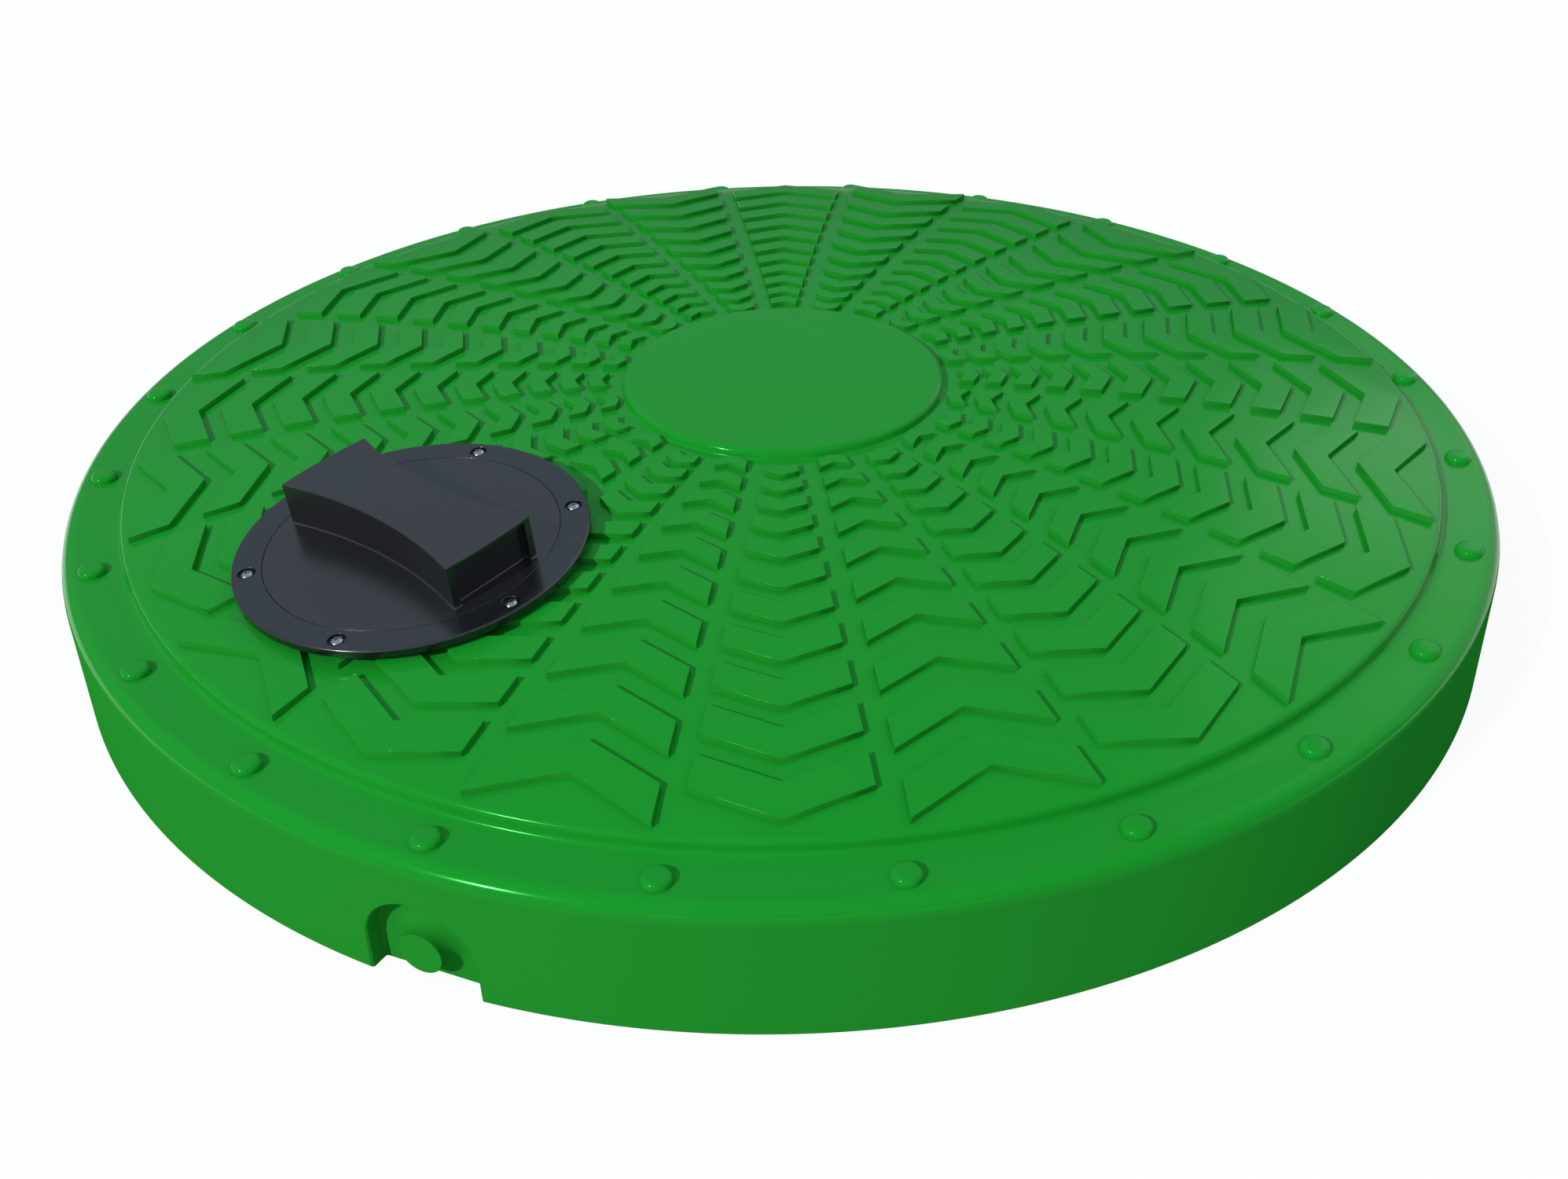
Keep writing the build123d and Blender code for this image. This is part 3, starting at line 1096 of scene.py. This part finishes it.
    def studs(self, material: bpy.types.Material) -> bpy.types.Object:
        """Builds one stud of the band and sets copies of it all round.

        Args:
            material: Material of the studs.

        Returns:
            All the studs as one mesh.
        """
        base = self.form.band_height
        top, foot = base + self.stud_height, base - self.form.root
        profile = rounded_path([
            (0.0, top, 0.0), (self.stud_radius - self.stud_taper, top, self.stud_head),
            (self.stud_radius, base, 0.0), (self.stud_radius, foot, 0.0), (0.0, foot, 0.0),
        ])
        studs = turned("rim_studs", profile, self.stud_segments)
        start = self.form.tread_angle + self.form.sector_angle / 2
        self.copies.apply(studs, self.form.sectors, self.stud_circle, start, material)
        finish_shading(studs.data)
        return studs

    def build(self, glossy: bpy.types.Material, matt: bpy.types.Material) -> None:
        """Builds and dresses the pieces of the moulding.

        Args:
            glossy: Material of the top.
            matt: Material of what the mould's steep walls leave dull: skirt and ribs' sides.
        """
        steep = math.sin(math.radians(self.gloss_from_degrees))
        gloss_foot = (self.form.band_height - self.form.rim_fillet * (1 - steep)) * MM
        shell = self.shell()
        dress(shell, glossy, Body.COVER, Slot.GREEN, "cover_shell")
        shell.data.materials.append(matt)
        for polygon in shell.data.polygons:
            polygon.material_index = int(polygon.center.z < gloss_foot)
        tread = self.tread(glossy)
        dress(tread, glossy, Body.COVER, Slot.GREEN)
        tread.data.materials.append(matt)
        for polygon in tread.data.polygons:
            polygon.material_index = int(polygon.normal.z < steep)
        dress(self.studs(glossy), glossy, Body.COVER, Slot.GREEN)


@dataclass
class HatchRing:
    """The hatch's ring: flange, lid recess, neck and counterbored holes."""

    hatch: HatchForm
    copies: CopyRing
    bore_edge: float = 0.4
    lip_edge: float = 0.2
    flange_foot_edge: float = 0.6
    neck_fillet: float = 1.0
    seat_chamfer: float = 0.4
    seat_segments: int = 40
    tool_proud: float = 2.0

    def counterbores(self) -> bpy.types.Object:
        """Builds the tools that cut the screws' holes and chamfered seats.

        Returns:
            A stepped tool at each screw.
        """
        hatch, chamfer, proud = self.hatch, self.seat_chamfer, self.tool_proud
        deep = 2 * hatch.flange_thickness
        play, seat = hatch.screw_radius + hatch.screw_play, hatch.seat_radius
        mouth = seat + 2 * chamfer
        path = [
            (0.0, -deep), (play, -deep), (play, -hatch.head_seat), (seat, -hatch.head_seat),
            (seat, -chamfer), (mouth, chamfer), (mouth, proud), (0.0, proud),
        ]
        return hatch.at_screws(turned("counterbores", path, self.seat_segments), self.copies)

    def build(self, material: bpy.types.Material) -> None:
        """Builds and dresses the ring.

        Args:
            material: Material of the ring.
        """
        hatch = self.hatch
        floor = -hatch.lid_rim - hatch.lid_seat_gap
        under = -hatch.flange_thickness
        foot = under - hatch.neck_depth
        lip = hatch.lid_radius + hatch.lid_clearance
        neck = hatch.neck_bore + hatch.neck_wall
        path = rounded_path([
            (hatch.neck_bore, foot, 0.0), (hatch.neck_bore, floor, self.bore_edge),
            (lip, floor, 0.0), (lip, 0.0, self.lip_edge),
            (hatch.flange_radius, 0.0, hatch.flange_fillet),
            (hatch.flange_radius, under, self.flange_foot_edge),
            (neck, under, self.neck_fillet), (neck, foot, 0.0),
        ])
        ring = turned("hatch_flange_ring", path, hatch.segments)
        combine(ring, self.counterbores(), Operation.CUT)
        flatten_shading(ring, hatch.sharp_degrees)
        place(ring, hatch.matrix)
        dress(ring, material, Body.COVER, Slot.BLACK, "hatch_ring")


@dataclass
class HatchLid:
    """The screw-in lid with its plug and waisted grip."""

    hatch: HatchForm
    half_length: float = 78.3
    half_width: float = 32.4
    waist: float = 21.8
    height: float = 28.8
    end_bulge: float = 1.6
    end_strip: float = 5.0
    end_recess: float = 4.0
    end_lip: float = 2.4
    shell: float = 3.0
    root: float = 1.2
    root_degrees: float = 60.0
    root_segments: int = 3
    root_profile: float = 0.5
    edge: float = 0.45
    edge_degrees: float = 40.0
    edge_segments: int = 2
    side_steps: int = 24
    end_steps: int = 10
    face_edge: float = 0.25
    rim_edge: float = 0.3
    plug_edge: float = 1.0
    groove_radius: float = 71.95
    groove_top: float = 4.6
    groove_foot: float = 7.6
    core_reach: float = 50.0
    core_segments: int = 128

    def outline(self, inset: float) -> list[Point2]:
        """Closed waisted outline of the grip.

        Args:
            inset: Distance by which it is drawn in.

        Returns:
            Points along and across the grip.
        """
        length, width = self.half_length - inset, self.half_width - inset
        waist = self.waist - inset
        rise = width - waist
        bow = (length ** 2 + rise ** 2) / (2 * rise)
        spread = math.asin(length / bow)
        side = [
            (bow * math.sin(a), -(waist + bow - bow * math.cos(a)))
            for a in (spread * (2 * n / self.side_steps - 1) for n in range(self.side_steps + 1))
        ]
        bend = (width ** 2 + self.end_bulge ** 2) / (2 * self.end_bulge)
        fan = math.asin(width / bend)
        end = [
            (length + self.end_bulge - bend + bend * math.cos(a), bend * math.sin(a))
            for a in (fan * (2 * n / self.end_steps - 1) for n in range(1, self.end_steps))
        ]
        half = side + end
        return half + [(-x, -y) for x, y in half]

    def grip(self) -> bpy.types.Object:
        """Builds the grip.

        Returns:
            A block with recessed ends and small rounded edges.
        """
        grip = prism("grip", self.outline(0.0), -self.root, self.height)
        half = self.half_width - self.end_strip
        inner, outer = self.half_length - self.end_recess, self.half_length + self.end_recess
        for end in (-1, 1):
            near = (end * inner, -half, -2 * self.root)
            far = (end * outer, half, self.height - self.end_lip)
            combine(grip, block("recess", near, far), Operation.CUT)
        soften = grip.modifiers.new("edges", "BEVEL")
        soften.width = self.edge * MM
        soften.segments = self.edge_segments
        soften.limit_method = "ANGLE"
        soften.angle_limit = math.radians(self.edge_degrees)
        return baked(grip)

    def round_grip_root(self, lid: bpy.types.Object) -> None:
        """Rounds the corner between the grip and the lid's face.

        Args:
            lid: The lid with its grip, still level.
        """
        work = bmesh.new()
        work.from_mesh(lid.data)
        reach = (math.hypot(self.half_length, self.half_width) + self.root) * MM
        corner = [
            edge for edge in work.edges
            if all(abs(v.co.z) < TINY and v.co.xy.length < reach for v in edge.verts)
            and edge.calc_face_angle_signed(0.0) < -math.radians(self.root_degrees)
        ]
        bmesh.ops.bevel(
            work, geom=corner, offset=self.root * MM, segments=self.root_segments,
            profile=self.root_profile, affect="EDGES",
        )
        work.to_mesh(lid.data)
        work.free()

    def build(self, material: bpy.types.Material) -> None:
        """Builds and dresses the lid.

        Args:
            material: Material of the lid.
        """
        hatch = self.hatch
        plug = hatch.neck_bore - hatch.plug_clearance
        inner = plug - hatch.plug_wall
        path = rounded_path([
            (0.0, 0.0, 0.0), (hatch.lid_radius, 0.0, self.face_edge),
            (hatch.lid_radius, -hatch.lid_rim, self.rim_edge), (plug, -hatch.lid_rim, 0.0),
            (plug, -self.groove_top, 0.0), (self.groove_radius, -self.groove_top, 0.0),
            (self.groove_radius, -self.groove_foot, 0.0), (plug, -self.groove_foot, 0.0),
            (plug, -hatch.plug_depth, self.plug_edge), (inner, -hatch.plug_depth, self.plug_edge),
            (inner, -hatch.lid_plate, 0.0), (0.0, -hatch.lid_plate, 0.0),
        ])
        lid = turned("hatch_lid_moulding", path, hatch.segments)
        combine(lid, self.grip(), Operation.JOIN)
        self.round_grip_root(lid)
        hollow = prism(
            "hollow", self.outline(self.shell), -2 * self.height, self.height - self.shell
        )
        core = cylinder("core", inner, -self.core_reach, self.core_reach, self.core_segments)
        combine(hollow, core, Operation.KEEP_COMMON)
        combine(lid, hollow, Operation.CUT)
        flatten_shading(lid, hatch.sharp_degrees)
        turn = Matrix.Rotation(math.radians(hatch.grip_angle), 4, "Z")
        place(lid, hatch.matrix @ turn)
        dress(lid, material, Body.LID, Slot.BLACK, "hatch_lid")


@dataclass
class PanScrews:
    """Pan head screws with a cross recess; they stand for the plain screws of the model."""

    hatch: HatchForm
    copies: CopyRing
    head_radius: float = 4.0
    head_height: float = 2.7
    head_edge: float = 0.3
    dome_radius: float = 2.0
    dome_drop: float = 0.1
    dome_fillet: float = 1.6
    side_drop: float = 1.3
    side_fillet: float = 1.5
    length: float = 25.0
    tip_edge: float = 0.4
    cross_width: float = 0.8
    cross_length: float = 3.6
    cross_depth: float = 1.2
    segments: int = 40

    def build(self, material: bpy.types.Material) -> None:
        """Builds and dresses all the screws.

        Args:
            material: Material of the screws.
        """
        hatch, shank = self.hatch, self.hatch.screw_radius
        seat = -hatch.head_seat
        top, tip = seat + self.head_height, seat - self.length
        path = rounded_path([
            (0.0, top, 0.0), (self.dome_radius, top - self.dome_drop, self.dome_fillet),
            (self.head_radius, top - self.side_drop, self.side_fillet),
            (self.head_radius, seat, self.head_edge), (shank, seat, 0.0),
            (shank, tip, self.tip_edge), (0.0, tip, 0.0),
        ])
        screw = turned("hatch_pan_screws", path, self.segments)
        sizes = (self.cross_length, self.cross_width)
        for along, across in (sizes, sizes[::-1]):
            near = (-along / 2, -across / 2, top - self.cross_depth)
            far = (along / 2, across / 2, top + self.cross_depth)
            combine(screw, block("slot", near, far), Operation.CUT)
        hatch.at_screws(screw, self.copies, material)
        finish_shading(screw.data)
        place(screw, hatch.matrix)
        names = [f"hatch_screw_{number + 1}" for number in range(hatch.screws)]
        dress(screw, material, Body.COVER, Slot.STEEL, *names)


@dataclass(frozen=True)
class Lamp:
    """A lamp that faces the cover.

    A sun's strength is in watts per square metre and its spread is its disc's angle in
    degrees. An area lamp's strength is in watts and its spread is its width in metres.
    """

    name: str
    kind: LampKind
    place_m: Point3
    strength: float
    spread: float
    tall_m: float = 0.0
    aim_m: Point3 = (0.0, 0.0, 0.05)

    def build(self) -> None:
        """Adds the lamp to the scene."""
        data = bpy.data.lights.new(self.name, self.kind.value)
        data.energy = self.strength
        if self.kind is LampKind.SUN:
            data.angle = math.radians(self.spread)
        else:
            data.shape = "RECTANGLE"
            data.size, data.size_y = self.spread, self.tall_m or self.spread
        spot = Vector(self.place_m)
        aim = (Vector(self.aim_m) - spot).to_track_quat("-Z", "Y").to_matrix().to_4x4()
        linked(self.name, data).matrix_world = Matrix.Translation(spot) @ aim


@dataclass
class Studio:
    """White floor, soft lights and the camera at the photograph's angle."""

    focal_px: float = 2161.67
    image_width_px: float = 1995.0
    centre_shift_px: float = 53.9
    eye_mm: Point3 = (29.71, -1103.40, 680.16)
    pitch_degrees: float = 33.802
    roll_degrees: float = -0.473
    sensor_mm: float = 36.0
    near_m: float = 0.05
    far_m: float = 100.0
    sky_colour: str = "#cfe2f5"
    sky_strength: float = 0.66
    horizon_share: float = 0.15
    full_sky_sine: float = 0.7
    floor_colour: str = "#b8b8b8"
    floor_glow: float = 0.93
    floor_half: float = 40000.0
    lamps: tuple[Lamp, ...] = (
        Lamp("key", LampKind.SUN, (-1.0, -1.0, 1.0), strength=2.1, spread=2.5),
        Lamp("fill", LampKind.SUN, (1.4, 0.9, 1.0), strength=0.4, spread=60.0),
        Lamp("window", LampKind.AREA, (1.5, 2.1, 1.3), strength=0.45, spread=0.8),
        Lamp(
            "front_strip", LampKind.AREA, (0.0, -4.0, 0.9), strength=10.0, spread=4.0, tall_m=0.15
        ),
    )

    def camera(self) -> None:
        """Sets the camera."""
        data = bpy.data.cameras.new("camera")
        data.sensor_width = self.sensor_mm
        data.lens = self.focal_px / self.image_width_px * self.sensor_mm
        data.shift_x = -self.centre_shift_px / self.image_width_px
        data.clip_start, data.clip_end = self.near_m, self.far_m
        eye = linked("camera", data)
        tilt = Matrix.Rotation(math.pi / 2 - math.radians(self.pitch_degrees), 4, "X")
        roll = Matrix.Rotation(math.radians(self.roll_degrees), 4, "Z")
        eye.matrix_world = Matrix.Translation(Vector(self.eye_mm) * MM) @ tilt @ roll
        bpy.context.scene.camera = eye

    def world(self) -> None:
        """Sets a slightly cool sky that grows darker towards the horizon."""
        world = bpy.data.worlds.new("studio")
        bpy.context.scene.world = world
        tree = cleared_tree(world)
        way = add_node(tree, "ShaderNodeTexCoord").outputs["Generated"]
        up = add_node(tree, "ShaderNodeSeparateXYZ", {"Vector": way}).outputs["Z"]
        level = add_node(
            tree, "ShaderNodeMapRange",
            {"Value": up, "From Min": 0.0, "From Max": self.full_sky_sine,
             "To Min": self.horizon_share * self.sky_strength, "To Max": self.sky_strength},
        )
        sky = add_node(
            tree, "ShaderNodeBackground",
            {"Color": linear(self.sky_colour), "Strength": level.outputs["Result"]},
        )
        add_node(tree, "ShaderNodeOutputWorld", {"Surface": sky.outputs[0]})

    def floor(self) -> None:
        """Lays a floor: white with a trace of shadow where it is seen, grey to other light."""
        half = self.floor_half
        plane = mesh_object(
            "floor", [(-half, -half, 0), (half, -half, 0), (half, half, 0), (-half, half, 0)],
            [(0, 1, 2, 3)],
        )
        material = bpy.data.materials.new("white_floor")
        tree = cleared_tree(material)
        path = add_node(tree, "ShaderNodeLightPath").outputs
        seen = path["Is Camera Ray"]
        for ray in ("Is Glossy Ray", "Is Transmission Ray"):
            seen = add_node(
                tree, "ShaderNodeMath", {0: seen, 1: path[ray]}, operation="MAXIMUM"
            ).outputs[0]
        share = add_node(
            tree, "ShaderNodeMath", {0: seen, 1: self.floor_glow}, operation="MULTIPLY"
        )
        white = linear("#ffffff")
        shade = add_node(
            tree, "ShaderNodeMix", {"Factor": seen, "A": linear(self.floor_colour), "B": white},
            data_type="RGBA",
        )
        matt = add_node(tree, "ShaderNodeBsdfDiffuse", {"Color": shade.outputs["Result"]})
        glow = add_node(tree, "ShaderNodeEmission", {"Color": white, "Strength": 1.0})
        mixed = add_node(
            tree, "ShaderNodeMixShader",
            {0: share.outputs[0], 1: matt.outputs[0], 2: glow.outputs[0]},
        )
        add_node(tree, "ShaderNodeOutputMaterial", {"Surface": mixed.outputs[0]})
        plane.data.materials.append(material)

    def build(self) -> None:
        """Sets camera, world, floor and lights."""
        self.camera()
        self.world()
        self.floor()
        for lamp in self.lamps:
            lamp.build()
        bpy.context.scene.view_settings.view_transform = "Standard"


def dress_kept_nodes(zinc: bpy.types.Material) -> None:
    """Gives gasket, seal, washers and nuts, which stay as modelled, their materials.

    Args:
        zinc: Material of the washers and nuts.
    """
    own = {"hatch_gasket": GASKET_FOAM.material(), "hatch_seal": SEAL_RUBBER.material()}
    for name, node in frame["nodes"].items():
        material = zinc if name.startswith(("hatch_washer", "hatch_nut")) else own.get(name)
        if material:
            node.data.materials.clear()
            node.data.materials.append(material)
            LOG.info("node %s: %s", name, material.name)


def main() -> None:
    """Builds the pieces in order."""
    logging.basicConfig(level=logging.INFO, format="%(message)s")
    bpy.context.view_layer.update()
    form = CoverForm()
    hatch = HatchForm()
    copies = CopyRing()
    Studio().build()
    moulding = CoverMoulding(form, SkirtRecess(form), hatch, copies)
    moulding.build(COVER_GREEN.material(), SKIRT_GREEN.material())
    HatchRing(hatch, copies).build(RING_BLACK.material())
    HatchLid(hatch).build(LID_BLACK.material())
    zinc = BRIGHT_ZINC.material()
    PanScrews(hatch, copies).build(zinc)
    dress_kept_nodes(zinc)


if __name__ == "__main__":
    main()
